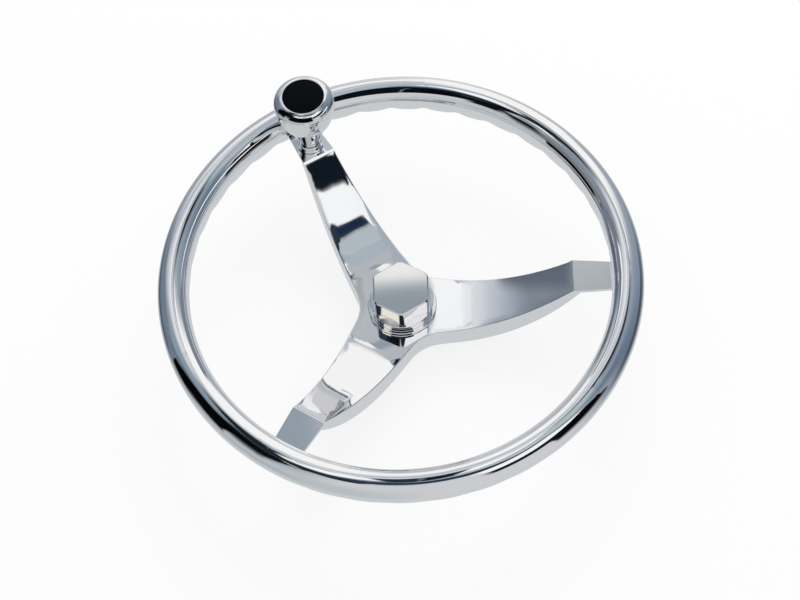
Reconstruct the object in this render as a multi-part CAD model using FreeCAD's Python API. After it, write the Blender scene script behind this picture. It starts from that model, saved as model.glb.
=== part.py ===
import FreeCAD, Part
import math
import os

# Boat steering wheel with a waved tube rim, three cast spokes and a spinner knob, in millimetres.
# The origin is the centre of the hub's rear face, +Z runs along the shaft towards the driver,
# and +X runs along the spoke on the driver's right.

# Rim, a tube bent to a ring: its front is round and its back is deeper, with finger grips
wheel_diameter = 393.7
tube_diameter = 25.4
tube_wall = 1.6
dish_depth = 101.6
grip_swell = 5.0
grip_notch = 3.8
lobe_fullness = 1.0
notch_fullness = 0.75
outer_fullness = 0.45
grip_steps = 4
steps_per_window = 51
skin_faces = 9

# Spoke casting
spoke_count = 3
knob_spoke = 1
hub_height = 37.4
arm_root_floor = 17.4
arm_curve_start = 42.0
tab_length = 32.95
step_rise = 1.3
step_length = 2.1
tab_below_rim = 5.0
tab_thickness = 3.2
step_half_width = 14.6
arm_taper = 0.11
tab_end_half_width = 12.2
web_fillet = 35.0
edge_round = 1.0

# Underside curve of a spoke, as a cubic from the hub to the tab
floor_start = 48.0
floor_pull = 47.0
floor_end_clearance = 1.5
floor_end_run = 18.0
floor_end_drop = 30.7

# Hub barrel and tapered shaft bore for a three quarter inch shaft
barrel_rear_radius = 26.0
barrel_root_radius = 28.5
barrel_fillet = 4.0
bore_mouth_diameter = 19.05
bore_taper = 1.0 / 12.0
bore_chamfer = 0.6
keyway_width = 4.76
keyway_depth = 2.2

# Centre cap nut with its trim ring and gasket
gasket_thickness = 0.6
gasket_radius = 27.6
trim_ring_thickness = 3.0
trim_ring_radius = 28.8
trim_ring_edge = 0.5
stack_bore_radius = 8.6
skirt_radius = 26.4
skirt_height = 6.4
hex_across_flats = 45.5
hex_height = 20.5
hex_corner_round = 6.0
hex_top_chamfer = 1.0
nut_turn = 2.0
nut_relief_radius = 8.0
nut_relief_depth = 3.0
nut_thread_radius = 5.75
nut_thread_length = 18.0

# Spinner knob: heights are counted from the tab's top face
knob_from_tube = 15.95
pad_thickness = 0.6
pad_radius = 10.9
collar_radius = 11.3
collar_height = 3.0
collar_step_radius = 9.3
collar_step_drop = 1.1
stud_radius = 4.0
stud_clearance = 0.2
flange_radius = 5.4
flange_height = 2.5
thrust_washer_radius = 5.9
thrust_washer_height = 1.0
axial_play = 0.1
post_top = 50.0
running_clearance = 0.06
bush_radius = 5.5
lower_bush_length = 10.0
upper_bush_length = 12.0
washer_play = 0.2

# Knob shell and its fillings
shell_bottom_gap = 0.6
shell_top = 67.2
shell_wall = 1.8
neck_outer_radius = 7.6
neck_inner_radius = 6.5
neck_length = 10.0
stem_middle_radius = 13.2
stem_middle_height = 21.0
stem_top_radius = 21.5
stem_top_height = 39.0
shoulder_pull_height = 48.0
bulge_radius = 25.1
bulge_height = 58.0
bulge_pull_height = 64.8
lip_radius = 18.8
face_radius = 17.2
face_fit = 0.1
face_seat = 64.0
face_edge_height = 66.7
face_dome = 1.3
core_flange_thickness = 3.9
core_radius = 10.5
core_cone_bottom = 18.0
core_cone_top = 26.0
core_pocket_radius = 8.6
plug_radius = 8.4
plug_length = 4.9

# Fasteners of the knob
screw_radius = 2.5
screw_length = 12.0
screw_head_radius = 4.75
screw_head_height = 2.8
screw_socket_flats = 3.0
screw_socket_depth = 1.6
screw_hole_depth = 14.0
cap_washer_radius = 7.6
cap_washer_thickness = 1.2
tab_washer_radius = 8.0
tab_washer_thickness = 1.6
spring_washer_radius = 7.2
spring_washer_thickness = 2.0
spring_washer_gap = 1.0
tab_nut_flats = 13.0
tab_nut_height = 6.5
stud_end_beyond_nut = 1.5

# Values worked out from the ones above
tube_radius = tube_diameter / 2
rim_radius = wheel_diameter / 2 - tube_radius
rim_z = dish_depth - tube_radius
step_radius = rim_radius - tube_radius - tab_length
knob_radius = rim_radius - tube_radius - knob_from_tube
floor_end = knob_radius - tab_washer_radius - floor_end_clearance
tab_top = rim_z - tab_below_rim
tab_floor = tab_top - tab_thickness
arm_top_end = tab_top - step_rise
spoke_step = 360.0 / spoke_count
knob_angle = math.radians(knob_spoke * spoke_step)
knob_x = knob_radius * math.cos(knob_angle)
knob_y = knob_radius * math.sin(knob_angle)
running_radius = stud_radius + running_clearance
clearance_radius = stud_radius + stud_clearance


def vec(x, y, z):
    return FreeCAD.Vector(x, y, z)


def line(start, end):
    """Edge between two (r, z) points of the XZ plane."""
    return Part.makeLine(vec(start[0], 0, start[1]), vec(end[0], 0, end[1]))


def curve(*points):
    """Bezier edge with its poles at (r, z) points of the XZ plane."""
    bezier = Part.BezierCurve()
    bezier.setPoles([vec(r, 0, z) for r, z in points])
    return bezier.toShape()


def arc(start, middle, end):
    """Round edge through three (r, z) points of the XZ plane."""
    return Part.Arc(*[vec(r, 0, z) for r, z in (start, middle, end)]).toShape()


def chain(points):
    """Straight edges through a run of (r, z) points."""
    return [line(a, b) for a, b in zip(points, points[1:])]


def turned(edges, x=0.0, y=0.0, z=0.0):
    """Solid turned about a vertical axis at (x, y) from a closed run of edges, lifted by z."""
    face = Part.Face(Part.Wire(Part.__sortEdges__(edges)))
    solid = face.revolve(vec(0, 0, 0), vec(0, 0, 1), 360)
    solid.translate(vec(x, y, z))
    return solid


def ring(outer, inner, height, base, edge=0.0):
    """Flat ring about the Z axis, with its two outer edges broken by a small chamfer."""
    section = [
        (inner, base),
        (outer - edge, base),
        (outer, base + edge),
        (outer, base + height - edge),
        (outer - edge, base + height),
        (inner, base + height),
        (inner, base),
    ]
    if edge == 0.0:
        section = [(inner, base), (outer, base), (outer, base + height), (inner, base + height), (inner, base)]
    return turned(chain(section))


def on_knob_axis(shape):
    """Moves a shape from the Z axis to the knob's axis, with the tab's top face as its zero height."""
    moved = shape.copy()
    moved.translate(vec(knob_x, knob_y, tab_top))
    return moved


def hexagon(flats, height, base, turn=0.0):
    """Hexagonal prism about the Z axis, with a corner at the angle turn."""
    reach = flats / math.sqrt(3)
    angles = [math.radians(turn + 60 * k) for k in range(7)]
    corners = [vec(reach * math.cos(a), reach * math.sin(a), base) for a in angles]
    return Part.Face(Part.makePolygon(corners)).extrude(vec(0, 0, height))


def tube_skin(radius):
    """Closed solid of the rim's tube, whose front half is round with the given radius.

    Sections follow each other round the wheel at even steps, four steps to a finger grip. The back of
    a section is deeper than the front and fuller on its inner side, and less so at each notch.
    """
    steps = spoke_count * steps_per_window
    even = 6 / (4 + 2 * math.cos(2 * math.pi / steps))
    square = [(1, 0), (1, 1), (0, 1), (-1, 1), (-1, 0), (-1, -1), (0, -1), (1, -1)]
    poles = []
    weights = []
    for step in range(steps):
        angle = 2 * math.pi * (step + 0.5) / steps
        notch = step % steps_per_window % grip_steps == grip_steps - 1
        swell = grip_swell - grip_notch if notch else grip_swell
        inner_fullness = notch_fullness if notch else lobe_fullness
        row = []
        for x, z in square:
            reach = (rim_radius + radius * x) * even
            height = rim_z + (radius * z if z >= 0 else -radius - swell)
            row.append(vec(reach * math.cos(angle), reach * math.sin(angle), height))
        poles.append(row)
        weights.append([1, math.sqrt(0.5), 1, math.sqrt(0.5), 1, inner_fullness, 1, outer_fullness])
    faces = []
    run = steps // skin_faces
    for k in range(skin_faces):
        surface = Part.BSplineSurface()
        surface.buildFromPolesMultsKnots(
            poles, [1] * (steps + 1), [2] * 5, list(range(steps + 1)), list(range(5)), True, True, 3, 2, weights
        )
        surface.segment(k * run, (k + 1) * run, 0, 4)
        faces.append(surface.toShape())
    shell = Part.makeShell(faces)
    shell.sewShape()
    solid = Part.makeSolid(shell.Shells[0])
    if solid.Volume < 0:
        solid.reverse()
    return solid


def rim_tube():
    return tube_skin(tube_radius).cut(tube_skin(tube_radius - tube_wall))


def arm_half_width(radius):
    return step_half_width + arm_taper * (step_radius - radius)


def casting_plan():
    """Upright prism with the outline of the three spokes, its inner corners rounded."""
    half_turn = math.radians(spoke_step / 2)
    corner = arm_half_width(0) / (math.sin(half_turn) + arm_taper * math.cos(half_turn))
    outline = []
    for spoke in range(spoke_count):
        turn = math.radians(spoke * spoke_step)
        side = [
            (corner * math.cos(half_turn), -corner * math.sin(half_turn)),
            (step_radius, -step_half_width),
            (rim_radius - tube_radius / 2, -tab_end_half_width),
            (rim_radius - tube_radius / 2, tab_end_half_width),
            (step_radius, step_half_width),
        ]
        for r, t in side:
            x = r * math.cos(turn) - t * math.sin(turn)
            y = r * math.sin(turn) + t * math.cos(turn)
            outline.append(vec(x, y, 0))
    prism = Part.Face(Part.makePolygon(outline + outline[:1])).extrude(vec(0, 0, dish_depth))
    inner = []
    for edge in prism.Edges:
        ends = [v.Point for v in edge.Vertexes]
        upright = abs(ends[0].z - ends[-1].z) > 1
        if upright and math.hypot(ends[0].x, ends[0].y) < corner + 1:
            inner.append(edge)
    return prism.makeFillet(web_fillet, inner)


def arm_slab(turn, side_reach):
    """Wide slab with the side view of one spoke, from the hub's axis to inside the tube."""
    end = rim_radius - tube_radius / 2
    middle = (arm_curve_start + step_radius) / 2
    top = [
        line((0, hub_height), (arm_curve_start, hub_height)),
        curve((arm_curve_start, hub_height), (middle, hub_height), (step_radius, arm_top_end)),
        line((step_radius, arm_top_end), (step_radius + step_length, tab_top)),
        line((step_radius + step_length, tab_top), (end, tab_top)),
    ]
    floor = [
        line((end, tab_top), (end, tab_floor)),
        line((end, tab_floor), (floor_end, tab_floor)),
        curve(
            (floor_end, tab_floor),
            (floor_end - floor_end_run, tab_floor - floor_end_drop),
            (floor_start + floor_pull, arm_root_floor),
            (floor_start, arm_root_floor),
        ),
        line((floor_start, arm_root_floor), (0, arm_root_floor)),
        line((0, arm_root_floor), (0, hub_height)),
    ]
    face = Part.Face(Part.Wire(Part.__sortEdges__(top + floor)))
    slab = face.extrude(vec(0, 2 * side_reach, 0))
    slab.translate(vec(0, -side_reach, 0))
    slab.rotate(vec(0, 0, 0), vec(0, 0, 1), turn)
    return slab


def arm_top_height(radius):
    if radius <= arm_curve_start:
        return hub_height
    share = (radius - arm_curve_start) / (step_radius - arm_curve_start)
    return hub_height + (arm_top_end - hub_height) * share ** 2


def top_side_edges(shape):
    """Edges where a spoke's top face meets its side walls."""
    found = []
    for edge in shape.Edges:
        first, last = edge.ParameterRange
        spots = [edge.valueAt(first + (last - first) * k / 4) for k in range(5)]
        on_top = True
        crosswise = True
        for spot in spots:
            along = max(
                spot.x * math.cos(math.radians(k * spoke_step)) + spot.y * math.sin(math.radians(k * spoke_step))
                for k in range(spoke_count)
            )
            if abs(spot.z - arm_top_height(along)) > 0.02 or along > step_radius + 0.01:
                on_top = False
            if along < step_radius - 0.01:
                crosswise = False
        if on_top and not crosswise:
            found.append(edge)
    return found


def barrel():
    section = [
        (0, 0),
        (barrel_rear_radius - edge_round, 0),
        (barrel_rear_radius, edge_round),
        (barrel_root_radius, arm_root_floor),
        (barrel_root_radius, arm_root_floor + 2 * edge_round),
        (0, arm_root_floor + 2 * edge_round),
        (0, 0),
    ]
    return turned(chain(section))


def shaft_bore():
    """Tapered hole through the hub with its keyway and a small lead-in at the rear."""
    mouth = bore_mouth_diameter / 2
    small = mouth - hub_height * bore_taper / 2
    cone = turned(chain([(0, 0), (mouth, 0), (small, hub_height), (0, hub_height), (0, 0)]))
    lead = Part.makeCone(mouth + bore_chamfer, mouth, bore_chamfer)
    key_side = chain(
        [
            (0, 0),
            (mouth + keyway_depth, 0),
            (small + keyway_depth, hub_height),
            (0, hub_height),
            (0, 0),
        ]
    )
    slot = Part.Face(Part.Wire(key_side)).extrude(vec(0, keyway_width, 0))
    slot.translate(vec(0, -keyway_width / 2, 0))
    return cone.fuse([lead, slot])


def spoke_casting():
    side_reach = rim_radius / 3
    slabs = [arm_slab(k * spoke_step, side_reach) for k in range(spoke_count)]
    arms = slabs[0].fuse(slabs[1:])
    body = casting_plan().common(arms).removeSplitter()
    body = body.makeFillet(edge_round, top_side_edges(body))
    body = body.fuse(barrel()).removeSplitter()
    root = []
    for edge in body.Edges:
        middle = edge.BoundBox.Center
        round_edge = abs(edge.BoundBox.XLength - 2 * barrel_root_radius) < 0.01
        if round_edge and abs(middle.z - arm_root_floor) < 0.01:
            root.append(edge)
    body = body.makeFillet(barrel_fillet, root)
    stud_hole = on_knob_axis(Part.makeCylinder(clearance_radius, 3 * tab_thickness, vec(0, 0, -2 * tab_thickness)))
    return body.cut([tube_skin(tube_radius), shaft_bore(), stud_hole])


def centre_cap_nut():
    base = hub_height + gasket_thickness + trim_ring_thickness
    skirt = ring(skirt_radius, 0, skirt_height, base, trim_ring_edge)
    prism = hexagon(hex_across_flats, hex_height, base + skirt_height, 30 + nut_turn)
    uprights = []
    for edge in prism.Edges:
        if edge.BoundBox.ZLength > hex_height / 2:
            uprights.append(edge)
    prism = prism.makeFillet(hex_corner_round, uprights)
    top = base + skirt_height + hex_height
    rim_edges = [e for e in prism.Edges if abs(e.BoundBox.ZMin - top) < 0.01]
    prism = prism.makeChamfer(hex_top_chamfer, rim_edges)
    relief = Part.makeCylinder(nut_relief_radius, nut_relief_depth, vec(0, 0, base))
    thread = Part.makeCylinder(nut_thread_radius, nut_thread_length, vec(0, 0, base + nut_relief_depth))
    return skirt.fuse(prism).cut([relief, thread]).removeSplitter()


def nut_gasket():
    return ring(gasket_radius, stack_bore_radius, gasket_thickness, hub_height)


def nut_trim_ring():
    return ring(
        trim_ring_radius, stack_bore_radius, trim_ring_thickness, hub_height + gasket_thickness, trim_ring_edge
    )


def collar_gasket():
    return ring(pad_radius, clearance_radius, pad_thickness, 0)


def spindle_collar():
    top = pad_thickness + collar_height
    section = [
        (clearance_radius, pad_thickness),
        (collar_radius, pad_thickness),
        (collar_radius, top - collar_step_drop),
        (collar_step_radius, top - collar_step_drop),
        (collar_step_radius - collar_step_drop / 2, top),
        (clearance_radius, top),
        (clearance_radius, pad_thickness),
    ]
    return turned(chain(section))


def knob_spindle():
    """Shoulder post: a stud through the tab, a flange on the collar, and the running length above."""
    seat = pad_thickness + collar_height
    fixings = tab_thickness + tab_washer_thickness + spring_washer_thickness + tab_nut_height
    section = [
        (0, -fixings - stud_end_beyond_nut),
        (stud_radius - edge_round, -fixings - stud_end_beyond_nut),
        (stud_radius, -fixings - stud_end_beyond_nut + edge_round),
        (stud_radius, seat),
        (flange_radius, seat),
        (flange_radius, seat + flange_height),
        (stud_radius, seat + flange_height),
        (stud_radius, post_top),
        (screw_radius, post_top),
        (screw_radius, post_top - screw_hole_depth),
        (0, post_top - screw_hole_depth),
        (0, -fixings - stud_end_beyond_nut),
    ]
    return turned(chain(section))


def thrust_washer():
    seat = pad_thickness + collar_height + flange_height
    return ring(thrust_washer_radius, clearance_radius, thrust_washer_height, seat)


def core_floor():
    return pad_thickness + collar_height + flange_height + thrust_washer_height + axial_play


def lower_bush():
    return ring(bush_radius, running_radius, lower_bush_length, core_floor())


def upper_bush():
    top = post_top - washer_play
    return ring(bush_radius, running_radius, upper_bush_length, top - upper_bush_length)


def knob_core():
    """Moulded filling of the shell: it holds both bushes and carries the black face."""
    flange_floor = face_seat - core_flange_thickness
    pocket_floor = post_top - washer_play
    section = [
        (bush_radius, core_floor()),
        (neck_inner_radius, core_floor()),
        (neck_inner_radius, core_cone_bottom),
        (core_radius, core_cone_top),
        (core_radius, flange_floor),
        (face_radius, flange_floor),
        (face_radius, face_seat),
        (core_pocket_radius, face_seat),
        (core_pocket_radius, pocket_floor),
        (bush_radius, pocket_floor),
        (bush_radius, core_floor()),
    ]
    return turned(chain(section))


def knob_shell():
    """Thin polished shell: a long cone under a bulging head, open at the neck and at the face."""
    bottom = pad_thickness + collar_height + shell_bottom_gap
    neck_top = bottom + neck_length
    flange_floor = face_seat - core_flange_thickness
    stem_top = (stem_top_radius, stem_top_height)
    bulge = (bulge_radius, bulge_height)
    lip = (lip_radius, shell_top)
    inner_stem_top = (stem_top_radius - shell_wall, stem_top_height)
    inner_bulge = (bulge_radius - shell_wall, bulge_height - shell_wall)
    inner_lip = (face_radius, flange_floor + shell_wall)
    edges = [
        line((neck_inner_radius, bottom), (neck_outer_radius, bottom)),
        arc((neck_outer_radius, bottom), (stem_middle_radius, stem_middle_height), stem_top),
        curve(stem_top, (bulge_radius, shoulder_pull_height), bulge),
        curve(bulge, (bulge_radius, bulge_pull_height), lip),
        line(lip, (face_radius, shell_top)),
        line((face_radius, shell_top), inner_lip),
        curve(inner_lip, (inner_bulge[0], inner_lip[1]), inner_bulge),
        curve(inner_bulge, (inner_bulge[0], shoulder_pull_height), inner_stem_top),
        arc(inner_stem_top, (stem_middle_radius - shell_wall, stem_middle_height), (neck_inner_radius, neck_top)),
        line((neck_inner_radius, neck_top), (neck_inner_radius, bottom)),
    ]
    return turned(edges)


def knob_face():
    """Black face disc with a plug that snaps into the core."""
    edge_radius = face_radius - face_fit
    dome_radius = (edge_radius ** 2 + face_dome ** 2) / (2 * face_dome)
    half_way = math.sqrt(dome_radius ** 2 - (edge_radius / 2) ** 2) - dome_radius + face_edge_height + face_dome
    edges = [
        arc((edge_radius, face_edge_height), (edge_radius / 2, half_way), (0, face_edge_height + face_dome)),
        line((0, face_edge_height + face_dome), (0, face_seat - plug_length)),
        line((0, face_seat - plug_length), (plug_radius, face_seat - plug_length)),
        line((plug_radius, face_seat - plug_length), (plug_radius, face_seat)),
        line((plug_radius, face_seat), (edge_radius, face_seat)),
        line((edge_radius, face_seat), (edge_radius, face_edge_height)),
    ]
    return turned(edges)


def retaining_washer():
    return ring(cap_washer_radius, screw_radius, cap_washer_thickness, post_top)


def retaining_screw():
    seat = post_top + cap_washer_thickness
    head = ring(screw_head_radius, 0, screw_head_height, seat, screw_head_height / 6)
    shank = Part.makeCylinder(screw_radius, screw_length, vec(0, 0, seat - screw_length))
    socket_floor = seat + screw_head_height - screw_socket_depth
    socket = hexagon(screw_socket_flats, screw_socket_depth, socket_floor)
    return head.fuse(shank).cut(socket).removeSplitter()


def tab_washer():
    return ring(tab_washer_radius, clearance_radius, tab_washer_thickness, -tab_thickness - tab_washer_thickness)


def spring_washer():
    base = -tab_thickness - tab_washer_thickness - spring_washer_thickness
    whole = ring(spring_washer_radius, clearance_radius, spring_washer_thickness, base)
    gap = Part.makeBox(
        2 * spring_washer_radius,
        spring_washer_gap,
        2 * spring_washer_thickness,
        vec(0, -spring_washer_gap / 2, base - spring_washer_thickness / 2),
    )
    return whole.cut(gap)


def tab_nut():
    top = -tab_thickness - tab_washer_thickness - spring_washer_thickness
    base = top - tab_nut_height
    prism = hexagon(tab_nut_flats, tab_nut_height, base)
    rounding = ring(tab_nut_flats / math.sqrt(3), 0, tab_nut_height, base, edge_round)
    hole = Part.makeCylinder(stud_radius, tab_nut_height, vec(0, 0, base))
    return prism.common(rounding).cut(hole)


wheel_pieces = {
    "rim_tube": rim_tube,
    "spoke_casting": spoke_casting,
    "centre_cap_nut": centre_cap_nut,
    "nut_trim_ring": nut_trim_ring,
    "nut_gasket": nut_gasket,
}
knob_pieces = {
    "knob_shell": knob_shell,
    "knob_core": knob_core,
    "knob_face": knob_face,
    "upper_bush": upper_bush,
    "lower_bush": lower_bush,
    "knob_spindle": knob_spindle,
    "spindle_collar": spindle_collar,
    "collar_gasket": collar_gasket,
    "thrust_washer": thrust_washer,
    "retaining_washer": retaining_washer,
    "retaining_screw": retaining_screw,
    "tab_washer": tab_washer,
    "spring_washer": spring_washer,
    "tab_nut": tab_nut,
}

os.makedirs("parts", exist_ok=True)
for name, build in wheel_pieces.items():
    build().exportStep("parts/" + name + ".step")
for name, build in knob_pieces.items():
    on_knob_axis(build()).exportStep("parts/" + name + ".step")
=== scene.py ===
import math

import bpy
from mathutils import Matrix, Vector

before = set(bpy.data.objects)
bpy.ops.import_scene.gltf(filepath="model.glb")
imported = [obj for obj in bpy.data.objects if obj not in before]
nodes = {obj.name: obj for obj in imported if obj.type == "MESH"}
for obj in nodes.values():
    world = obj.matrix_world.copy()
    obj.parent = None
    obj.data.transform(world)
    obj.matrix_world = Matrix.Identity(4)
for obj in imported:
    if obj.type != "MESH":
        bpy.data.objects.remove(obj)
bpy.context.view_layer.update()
scene = bpy.context.scene
scene.view_settings.view_transform = "Standard"


# Shader helpers

class Graph:
    """Adds nodes to a node tree and links them by value or socket."""

    def __init__(self, tree):
        self.tree = tree
        tree.nodes.clear()

    def add(self, kind, **settings):
        node = self.tree.nodes.new(kind)
        for key, value in settings.items():
            setattr(node, key, value)
        return node

    def put(self, socket, value):
        if isinstance(value, bpy.types.NodeSocket):
            self.tree.links.new(value, socket)
        else:
            socket.default_value = value

    def math(self, operation, a, b=0.0, c=0.0):
        node = self.add("ShaderNodeMath", operation=operation)
        for socket, value in zip(node.inputs, (a, b, c)):
            self.put(socket, value)
        return node.outputs[0]

    def times(self, first, *others):
        for other in others:
            first = self.math("MULTIPLY", first, other)
        return first

    def rest(self, share):
        """What is left of 1 after a share."""
        return self.math("SUBTRACT", 1.0, share)

    def smooth(self, value, low, high):
        """0 below low, 1 above high, with a smooth step between."""
        node = self.add("ShaderNodeMapRange", interpolation_type="SMOOTHSTEP")
        self.put(node.inputs["Value"], value)
        node.inputs["From Min"].default_value = low
        node.inputs["From Max"].default_value = high
        return node.outputs["Result"]

    def between(self, value, low, high, soft):
        """1 from low to high, with soft edges."""
        above = self.smooth(value, low - soft, low + soft)
        return self.times(above, self.rest(self.smooth(value, high - soft, high + soft)))

    def within(self, value, half, soft):
        """1 where the value is less than half away from 0, with soft edges."""
        return self.rest(self.smooth(self.math("ABSOLUTE", value), half - soft, half + soft))

    def split(self, vector):
        node = self.add("ShaderNodeSeparateXYZ")
        self.put(node.inputs[0], vector)
        return node.outputs

    def along(self, x, y, azimuth):
        """How far x and y reach in the direction of the azimuth."""
        c, s = math.cos(math.radians(azimuth)), math.sin(math.radians(azimuth))
        return self.math("ADD", self.times(x, c), self.times(y, s))

    def degrees_from(self, x, y, azimuth):
        """Angle round the z axis from the azimuth to x and y."""
        ahead, aside = self.along(x, y, azimuth), self.along(x, y, azimuth + 90)
        return self.math("DEGREES", self.math("ARCTAN2", aside, ahead))

    def mix(self, share, a, b):
        node = self.add("ShaderNodeMix", data_type="RGBA")
        self.put(node.inputs["Factor"], share)
        self.put(node.inputs["A"], a)
        self.put(node.inputs["B"], b)
        return node.outputs["Result"]

    def blend(self, share, first, second):
        """Shader that is the first at share 0 and the second at share 1."""
        node = self.add("ShaderNodeMixShader")
        for socket, value in zip(node.inputs, (share, first, second)):
            self.put(socket, value)
        return node.outputs[0]

    def glow(self, colour):
        node = self.add("ShaderNodeEmission")
        self.put(node.inputs["Color"], colour)
        node.inputs["Strength"].default_value = 1.0
        return node.outputs[0]

    def clear(self):
        return self.add("ShaderNodeBsdfTransparent").outputs[0]

    def front(self):
        """1 on the front of a face, 0 on its back."""
        return self.rest(self.back())

    def back(self):
        return self.add("ShaderNodeNewGeometry").outputs["Backfacing"]

    def ray(self, kind):
        return self.add("ShaderNodeLightPath").outputs[kind]

    def in_metal(self):
        """1 for what polished metal and glass show, 0 for everything else."""
        return self.math("MAXIMUM", self.ray("Is Glossy Ray"), self.ray("Is Transmission Ray"))

    def object_place(self):
        return self.add("ShaderNodeTexCoord").outputs["Object"]

    def noise(self, vector, scale, detail=2.0, roughness=0.5):
        node = self.add("ShaderNodeTexNoise")
        self.put(node.inputs["Vector"], vector)
        node.inputs["Scale"].default_value = scale
        node.inputs["Detail"].default_value = detail
        node.inputs["Roughness"].default_value = roughness
        return node.outputs["Fac"]

    def bump(self, height, strength, distance):
        node = self.add("ShaderNodeBump")
        node.inputs["Strength"].default_value = strength
        node.inputs["Distance"].default_value = distance
        self.put(node.inputs["Height"], height)
        return node.outputs[0]

    def output(self, shader, kind="ShaderNodeOutputMaterial"):
        self.put(self.add(kind).inputs["Surface"], shader)


def rgb(red, green, blue):
    """Linear colour from the usual 0 to 255 values."""
    def linear(v):
        v /= 255
        return v / 12.92 if v <= 0.04045 else ((v + 0.055) / 1.055) ** 2.4
    return (linear(red), linear(green), linear(blue), 1.0)


def lit(colour, factor):
    """The same colour, made lighter or darker by a factor."""
    return [min(1.0, part * factor) for part in colour[:3]] + [1.0]


def new_material(name):
    material = bpy.data.materials.new(name)
    material.use_nodes = True
    return material, Graph(material.node_tree)


def metal(name, colour, roughness, spread, haze_scale, wave=None, duller=None):
    """Polished or turned metal: faint haze in the polish and hairline scratches.

    wave gives the strength and the scale of a slight waviness. duller gives where along x the polish
    starts to dull, where it ends, and by how much.
    """
    scratch_stretch = (900.0, 60.0, 200.0)
    wave_depth = 0.001
    least_roughness = 0.01
    hazed = 0.97
    material, graph = new_material(name)
    shader = graph.add("ShaderNodeBsdfPrincipled")
    graph.output(shader.outputs[0])
    place = graph.object_place()
    haze = graph.noise(place, haze_scale, 3.0, 0.6)
    stretch = graph.add("ShaderNodeMapping")
    graph.put(stretch.inputs["Vector"], place)
    stretch.inputs["Scale"].default_value = scratch_stretch
    scratch = graph.noise(stretch.outputs[0], 1.0, 1.0)
    share = graph.math("MULTIPLY_ADD", haze, spread, roughness - spread / 2)
    fine = graph.math("MULTIPLY_ADD", scratch, spread / 3, -spread / 6)
    if duller:
        start, end, extra = duller
        share = graph.math("MULTIPLY_ADD", graph.smooth(graph.split(place)[0], start, end), extra, share)
    rough = graph.math("MAXIMUM", graph.math("ADD", share, fine), least_roughness)
    graph.put(shader.inputs["Roughness"], rough)
    graph.put(shader.inputs["Base Color"], graph.mix(haze, colour, lit(colour, hazed)))
    shader.inputs["Metallic"].default_value = 1.0
    if wave:
        strength, scale = wave
        graph.put(shader.inputs["Normal"], graph.bump(graph.noise(place, scale, 0.0), strength, wave_depth))
    return material


def plastic(name, colour, roughness, grain, shine=0.5):
    """Moulded plastic or rubber with a fine grain and slightly uneven gloss."""
    cloud_scale = 60.0
    cloud_light = 1.25
    gloss_spread = 0.08
    grain_scale = 2500.0
    grain_depth = 0.0002
    material, graph = new_material(name)
    shader = graph.add("ShaderNodeBsdfPrincipled")
    graph.output(shader.outputs[0])
    place = graph.object_place()
    cloud = graph.noise(place, cloud_scale, 3.0)
    graph.put(shader.inputs["Base Color"], graph.mix(cloud, colour, lit(colour, cloud_light)))
    gloss = graph.math("MULTIPLY_ADD", cloud, gloss_spread, roughness - gloss_spread / 2)
    graph.put(shader.inputs["Roughness"], gloss)
    shader.inputs["Specular IOR Level"].default_value = shine
    graph.put(shader.inputs["Normal"], graph.bump(graph.noise(place, grain_scale), grain, grain_depth))
    return material


# Materials of the wheel

chrome = rgb(245, 246, 248)
rim_steel = metal("rim_steel", chrome, 0.035, 0.02, 18.0)
spoke_steel = metal("spoke_steel", chrome, 0.045, 0.025, 22.0, wave=(0.04, 16.0), duller=(0.03, 0.09, 0.16))
plated = metal("plated", rgb(240, 240, 241), 0.035, 0.02, 90.0)
turned_steel = metal("turned_steel", rgb(200, 201, 203), 0.22, 0.1, 300.0)
fastener_steel = metal("fastener_steel", rgb(196, 197, 198), 0.28, 0.12, 250.0)
spring_steel = metal("spring_steel", rgb(150, 151, 154), 0.35, 0.15, 250.0)
black_face = plastic("black_face", rgb(5, 6, 9), 0.5, 0.05, shine=0.04)
core_plastic = plastic("core_plastic", rgb(60, 60, 62), 0.5, 0.2)
bush_plastic = plastic("bush_plastic", rgb(222, 219, 208), 0.45, 0.15)
rubber = plastic("rubber", rgb(26, 26, 28), 0.7, 0.4)

finish = {
    "rim_tube": rim_steel,
    "spoke_casting": spoke_steel,
    "centre_cap_nut": plated,
    "nut_trim_ring": plated,
    "knob_shell": plated,
    "spindle_collar": plated,
    "knob_face": black_face,
    "knob_core": core_plastic,
    "nut_gasket": rubber,
    "collar_gasket": rubber,
    "upper_bush": bush_plastic,
    "lower_bush": bush_plastic,
    "thrust_washer": bush_plastic,
    "knob_spindle": turned_steel,
    "retaining_washer": fastener_steel,
    "retaining_screw": fastener_steel,
    "tab_washer": fastener_steel,
    "tab_nut": fastener_steel,
    "spring_washer": spring_steel,
}


def shade(node, material, crease=28.0):
    """Gives a node its material, with smooth faces between its creases."""
    mesh = node.data
    mesh.materials.clear()
    mesh.materials.append(material)
    for name in ("custom_normal", "sharp_face", "sharp_edge"):
        if name in mesh.attributes:
            mesh.attributes.remove(mesh.attributes[name])
    weld = node.modifiers.new("weld", "WELD")
    weld.merge_threshold = 1e-6
    split = node.modifiers.new("split", "EDGE_SPLIT")
    split.split_angle = math.radians(crease)
    split.use_edge_sharp = False


for name, material in finish.items():
    shade(nodes[name], material)


# Camera, as the photo has it

lens_pixels = 1603.0
picture_width = 800
sensor_width = 36.0
distance = 1.3
elevation = math.radians(59.85)
turn = math.radians(4.29)
roll = math.radians(4.57)
yaw = math.radians(-0.062)
pitch = math.radians(0.888)
target = Vector((0.0, 0.0, 0.0889))

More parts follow.
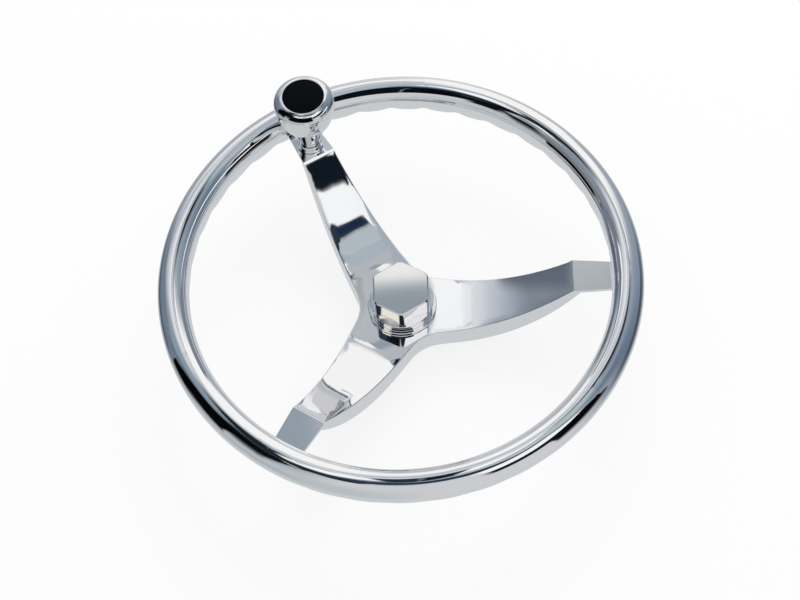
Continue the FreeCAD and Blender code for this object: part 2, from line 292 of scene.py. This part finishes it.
back = Vector((0.0, -math.cos(elevation), math.sin(elevation)))
right = Vector((1.0, 0.0, 0.0))
up = back.cross(right)
tilt = Matrix.Rotation(roll, 3, "Z") @ Matrix.Rotation(pitch, 3, "X") @ Matrix.Rotation(yaw, 3, "Y")
rows = tilt @ Matrix((right, up, back))
stand = Matrix.Rotation(turn, 3, "Z")
camera_place = Matrix.Translation(target + stand @ back * distance)
camera = bpy.data.objects.new("camera", bpy.data.cameras.new("camera"))
scene.collection.objects.link(camera)
camera.matrix_world = camera_place @ (stand @ rows.transposed()).to_4x4()
camera.data.sensor_width = sensor_width
camera.data.lens = lens_pixels / picture_width * sensor_width
camera.data.clip_start = 0.01
scene.camera = camera


# Studio: a white floor, and a world with white, grey and dark parts, as the polished metal shows them

def mirrored(red, green, blue):
    """Tint of a part that the chromed metal shows in the given colour."""
    return tuple(min(1.0, shown / own) for shown, own in zip(rgb(red, green, blue), chrome))


# The sky is seen only by mirror rays and lights nothing. Its parts are painted reflections: the white ones
# are painted highlights, and the grey and dark ones painted dark reflections in the metal.
# Each part of the sky is painted over the ones before it: its tint, then in degrees the azimuth, half
# width and softness round the wheel, and the lowest height, highest height and softness. Right is at
# azimuth 0, far at 90, left at 180, and near, where the camera stands, at 270. The overhead bar goes
# straight across instead of round: an azimuth, and how far towards it a direction of length 1 reaches
# where the bar begins and where it ends, and softness.
open_sky = (136, 150, 164)
sky_parts = {
    "right_wall": ((101, 117, 135), (5, 20, 19), (-90, 53.5, 6)),
    "under_right": ((72, 83, 97), (15, 23, 20), (-90, 0, 0.5)),
    "far_left_wall": ((104, 121, 138), (156.5, 19, 4), (-90, 28.5, 0.5)),
    "left_wall": ((87, 104, 121), (173.5, 5, 5), (-90, 56, 20)),
    "under_far_left": ((67, 82, 98), (132.5, 37, 0.5), (-90, -11.5, 7.5)),
    "far_wall": ((168, 171, 179), (93, 39.5, 20), (-90, 54.5, 0.5)),
    "far_window": ((250, 249, 248), (93, 39, 8), (17, 45.5, 10)),
    "far_skirting": ((212, 211, 215), (88.5, 16, 16), (-90, 18, 0.5)),
    "far_left_glow": ((177, 188, 194), (137, 25, 10), (24, 25, 20)),
    "near_wall": ((203, 204, 207), (286, 59, 20), (-90, 70.5, 5.5)),
    "near_left_wall": ((183, 190, 193), (225, 42, 20), (-90, 27, 20)),
    "left_black": ((8, 13, 18), (198.5, 20.5, 3), (18.5, 94.5, 20)),
    "left_black_low": ((5, 5, 6), (189, 14, 1), (-17, 50, 7)),
    "under_left": ((170, 176, 184), (210.5, 22, 6), (-90, -6, 10)),
    "near_right_black": ((5, 6, 12), (338.5, 12.5, 1), (3.5, 93.5, 12)),
    "left_high": ((77, 87, 97), (177.5, 12, 0.5), (59.5, 91.5, 0.5)),
    "overhead_right": ((175, 186, 193), (42, 57, 9), (64, 92, 1.5)),
    "overhead_far": ((250, 249, 248), (122, 45, 20), (68, 80, 1.5)),
    "overhead_bar": ((40, 52, 65), None, (59, 92, 1), (262.3, 0.036, 0.266, 0.004)),
    "overhead_far_haze": ((164, 173, 185), (77, 24.5, 11.5), (74, 88.5, 2.5)),
    "left_high_black": ((26, 35, 42), (180.5, 64.5, 1.5), (65, 72.5, 1)),
    "left_high_slot": ((237, 238, 237), (212, 4.5, 2.3), (59.5, 61.6, 0.3)),
    "far_high_black": ((5, 5, 11), (95, 43.5, 20), (59, 66, 1.5)),
    "far_high_haze": ((179, 185, 192), (94.5, 5, 0.5), (41.5, 72.5, 14)),
    "far_right_high": ((168, 178, 188), (70, 22, 6), (66, 78, 2)),
    "far_high_strip": ((176, 182, 187), (94, 10, 2), (57.5, 80, 1.5)),
    "far_left_slate": ((112, 121, 134), (152, 11, 5), (12, 34, 6)),
    "far_left_grey": ((162, 170, 180), (133, 12.5, 3), (27, 60, 5)),
    "far_left_pale": ((190, 195, 203), (125, 15, 3.5), (36, 62, 4)),
    "far_left_paler": ((211, 216, 220), (118, 13, 5), (46, 62, 3)),
    "far_left_white": ((230, 231, 235), (112, 6, 2.5), (52, 62, 2)),
    "far_right_white": ((244, 244, 244), (77, 13, 3), (4, 56.8, 1.5)),
    "far_high_slate": ((143, 156, 167), (106, 4, 1.5), (63.2, 67, 0.6)),
    "far_high_patch": ((152, 161, 173), (80, 4, 1), (57.5, 62, 1)),
    "nut_light": ((241, 241, 241), (94.3, 2.2, 0.3), (57, 60.2, 0.4)),
    "nut_shade": ((142, 154, 164), (94.3, 2.2, 0.15), (60.2, 64, 0.4)),
    "near_right_low_black": ((14, 22, 32), (318, 16, 3), (30, 47.6, 1.8)),
    "near_right_window": ((248, 248, 249), (328, 24, 3), (48, 67.2, 0.8)),
    "near_right_blue": ((22, 40, 66), (343, 17, 3), (67.3, 71.8, 0.8)),
    "right_high": ((100, 110, 125), (2, 5, 2), (63, 72, 1)),
}


def sky_colour(graph):
    """The painted sky as a colour socket, by the direction looked in."""
    x, y, z = graph.split(graph.add("ShaderNodeTexCoord").outputs["Generated"])
    height = graph.math("DEGREES", graph.math("ARCSINE", z))
    colour = mirrored(*open_sky)
    for tint, around, heights, *bars in sky_parts.values():
        share = graph.between(height, *heights)
        if around:
            azimuth, half, soft = around
            share = graph.times(share, graph.within(graph.degrees_from(x, y, azimuth), half, soft))
        for azimuth, *stretch in bars:
            share = graph.times(share, graph.between(graph.along(x, y, azimuth), *stretch))
        colour = graph.mix(share, colour, mirrored(*tint))
    return colour


def background(graph, colour):
    node = graph.add("ShaderNodeBackground")
    graph.put(node.inputs["Color"], colour)
    return node.outputs[0]


def studio_world():
    """Plain white for the camera, a plain pale light on the object, and the painted sky for the metal."""
    world_light = (0.9, 0.9, 0.9, 1.0)
    white = (1.0, 1.0, 1.0, 1.0)
    world = bpy.data.worlds.new("studio")
    world.use_nodes = True
    graph = Graph(world.node_tree)
    plain = background(graph, graph.mix(graph.ray("Is Camera Ray"), world_light, white))
    sky = background(graph, sky_colour(graph))
    graph.output(graph.blend(graph.in_metal(), plain, sky), "ShaderNodeOutputWorld")
    scene.world = world


def stage_piece(name, mesh, material):
    body = bpy.data.objects.new(name, mesh)
    scene.collection.objects.link(body)
    mesh.materials.append(material)
    return body


def rectangle(name, half_long, half_wide):
    a, b = half_long, half_wide
    mesh = bpy.data.meshes.new(name)
    mesh.from_pydata([(-a, -b, 0), (a, -b, 0), (a, b, 0), (-a, b, 0)], [], [(0, 1, 2, 3)])
    return mesh


def studio_floor():
    """White floor that keeps the object's soft shadow, and that the metal shows as pale near the wheel."""
    half_side = 6.0
    under_wheel = 0.0002
    cloud_scale = 3.0
    dull_paint, light_paint = (0.86, 0.86, 0.86, 1), (0.88, 0.88, 0.88, 1)
    camera_glow = 0.8
    # pale is a painted reflection: the metal sees the floor near the wheel in this grey, darker than the
    # white floor the camera sees.
    pale = mirrored(198, 202, 205)
    pale_cloud = 1.02
    pale_ends, sky_begins = 0.217, 0.426

    material, graph = new_material("floor")
    place = graph.object_place()
    cloud = graph.noise(place, cloud_scale)
    paint = graph.add("ShaderNodeBsdfDiffuse")
    graph.put(paint.inputs["Color"], graph.mix(cloud, dull_paint, light_paint))
    glowing = graph.times(graph.ray("Is Camera Ray"), camera_glow)
    plain = graph.blend(glowing, paint.outputs[0], graph.glow((1.0, 1.0, 1.0, 1.0)))
    reach = graph.add("ShaderNodeVectorMath", operation="LENGTH")
    graph.put(reach.inputs[0], place)
    past = graph.smooth(reach.outputs["Value"], pale_ends, sky_begins)
    disc = graph.blend(past, graph.glow(graph.mix(cloud, pale, lit(pale, pale_cloud))), graph.clear())
    graph.output(graph.blend(graph.in_metal(), plain, disc))
    floor = stage_piece("floor", rectangle("floor", half_side, half_side), material)
    floor.location.z = -under_wheel


# Small glowing cards that only the polished metal shows. They are painted reflections that cast no light or
# shadow: the light ones are painted highlights and glints, and the grey and dark ones painted dark
# reflections. Their edges are soft.
# Level cards, painted reflections: tint, height, centre, turn in degrees, half length, half width and
# softness.
level_reflection_cards = (
    ((250, 244, 230), 0.11, (-0.0554, -0.0493), 209, 0.016, 0.0135, 0.001),
    ((30, 36, 42), 0.11, (-0.001, -0.067), 0, 0.033, 0.021, 0.0015),
    ((246, 247, 249), 0.2, (0.0495, 0.0925), 0, 0.0265, 0.0475, 0.003),
    ((166, 175, 185), 0.09, (-0.0007, 0.0814), 0, 0.008, 0.007, 0.0015),
    ((226, 229, 231), 0.14, (0.036, 0.01), 0, 0.01, 0.015, 0.002),
)
# Upright cards, painted reflections seen from their front only: tint, centre, half length, half height,
# softness, and the turn of the front from +y in degrees. Three stand inside the rim's far side and paint
# dark bands and a blue glint into the metal. One by the right spoke paints a grey-blue reflection.
upright_reflection_cards = (
    ((8, 14, 24), (-0.023, 0.14, 0.425), 0.021, 0.295, 0.0015, 0),
    ((5, 9, 16), (0.0265, 0.14, 0.23), 0.0285, 0.1, 0.0015, 0),
    ((62, 92, 126), (-0.027, 0.1405, 0.54), 0.009, 0.18, 0.003, 0),
    ((90, 98, 114), (0.0911, 0.0414, 0.0725), 0.0237, 0.0275, 0.009, -120),
)
# Curved cards, painted reflections: tint, first and last azimuth, lowest and highest edge, and softness of
# those two. The ones round the knob are seen from inside, and paint a dark band and two white glints on the
# knob. The ones round the hub inside the rim are seen from outside.
knob_reflection_cards = (
    ((8, 9, 13), 233, 295, 0.148, 0.1715, 0.0012),
    ((250, 251, 250), 238, 264, 0.1725, 0.19, 0.0012),
    ((236, 240, 243), 281, 301, 0.1715, 0.19, 0.0012),
)
# Painted reflections round the hub: the grey and dark strips paint dark lines and bands into the metal, and
# the white ones are painted highlights.
rim_reflection_cards = (
    ((108, 116, 126), 332, 386, 0.1125, 0.1195, 0.0015),
    ((114, 121, 128), 375, 388, 0.1195, 0.137, 0.002),
    ((112, 119, 127), 26, 52, 0.107, 0.12, 0.002),
    ((130, 137, 145), 26, 54, 0.12, 0.17, 0.003),
    ((138, 145, 152), 54, 63, 0.13, 0.17, 0.002),
    ((9, 13, 21), 64, 73, 0.113, 0.27, 0.002),
    ((118, 126, 136), 178, 207, 0.1, 0.116, 0.003),
    ((58, 70, 82), 236, 249, 0.6, 1.6, 0.03),
    ((247, 249, 249), 249, 260, 0.174, 0.35, 0.004),
    ((45, 56, 68), 249, 261, 0.39, 1.6, 0.03),
    ((36, 46, 58), 261, 276, 0.168, 1.6, 0.003),
    ((24, 32, 43), 276, 291, 0.17, 1.6, 0.003),
    ((250, 251, 250), 291, 304, 0.174, 0.37, 0.004),
    ((24, 32, 43), 291, 304, 0.39, 1.6, 0.02),
    ((250, 251, 250), 304, 320, 0.19, 0.8, 0.006),
    ((250, 251, 250), 320, 331, 0.25, 0.8, 0.01),
)
knob_axis = (-0.0778, 0.1347, 0.0)
knob_card_radius = 0.036
wheel_axis = (0.0, 0.0, 0.0)
rim_card_radius = 0.15
rim_card_step = 0.0002


def card(name, mesh, tint, share_of):
    """Glowing card that mirror rays meet, clear at its edges and hidden from the camera: a painted
    reflection, unseen by diffuse and shadow rays.
    """
    cloud_scale = 40.0
    clouded = 0.97
    material, graph = new_material(name)
    place = graph.object_place()
    colour = mirrored(*tint)
    glow = graph.glow(graph.mix(graph.noise(place, cloud_scale), colour, lit(colour, clouded)))
    graph.output(graph.blend(share_of(graph, *graph.split(place)), graph.clear(), glow))
    body = stage_piece(name, mesh, material)
    body.visible_camera = False
    body.visible_diffuse = False
    body.visible_shadow = False
    return body


def flat_card(name, tint, half_long, half_wide, soft, both_sides):
    def share(graph, x, y, z):
        inside = graph.times(graph.within(x, half_long, soft), graph.within(y, half_wide, soft))
        return inside if both_sides else graph.times(inside, graph.front())

    return card(name, rectangle(name, half_long + soft, half_wide + soft), tint, share)


def level_reflection_card(name, tint, height, centre, turned, half_long, half_wide, soft):
    body = flat_card(name, tint, half_long, half_wide, soft, both_sides=True)
    body.location = (*centre, height)
    body.rotation_euler.z = math.radians(turned)


def upright_reflection_card(name, tint, centre, half_long, half_high, soft, turned):
    body = flat_card(name, tint, half_long, half_high, soft, both_sides=False)
    body.location = centre
    body.rotation_euler = (math.radians(-90), 0, math.radians(turned))


def curved_reflection_card(name, centre, radius, from_outside, tint, first, last, low, high, soft):
    edge = 2.0
    steps = 24

    def share(graph, x, y, z):
        turned = graph.degrees_from(x, y, (first + last) / 2)
        side = graph.front() if from_outside else graph.back()
        around = graph.within(turned, (last - first) / 2, edge)
        return graph.times(around, side, graph.between(z, low, high, soft))

    points = []
    for i in range(steps + 1):
        angle = math.radians(first - edge + (last - first + 2 * edge) * i / steps)
        x, y = radius * math.cos(angle), radius * math.sin(angle)
        points += [(x, y, low - soft), (x, y, high + soft)]
    faces = [(2 * i, 2 * i + 2, 2 * i + 3, 2 * i + 1) for i in range(steps)]
    mesh = bpy.data.meshes.new(name)
    mesh.from_pydata(points, [], faces)
    card(name, mesh, tint, share).location = centre


def key_lamp():
    """Soft lamp behind the wheel that gives the floor its shadow and stays out of the metal."""
    place, aim = Vector((0.3, 1.2, 1.6)), Vector((0, 0, 0.05))
    lamp = bpy.data.objects.new("key_lamp", bpy.data.lights.new("key_lamp", "AREA"))
    scene.collection.objects.link(lamp)
    lamp.location = place
    lamp.rotation_euler = (aim - place).to_track_quat("-Z", "Y").to_euler()
    lamp.data.size = 1.2
    lamp.data.energy = 12.0
    lamp.visible_glossy = False


studio_world()
studio_floor()
for i, row in enumerate(level_reflection_cards):
    level_reflection_card(f"level_reflection_card_{i}", *row)
for i, row in enumerate(upright_reflection_cards):
    upright_reflection_card(f"upright_reflection_card_{i}", *row)
for i, row in enumerate(knob_reflection_cards):
    curved_reflection_card(f"curved_reflection_card_{i}", knob_axis, knob_card_radius, False, *row)
for i, row in enumerate(rim_reflection_cards):
    curved_reflection_card(f"ring_reflection_card_{i}", wheel_axis, rim_card_radius + rim_card_step * i, True, *row)
key_lamp()
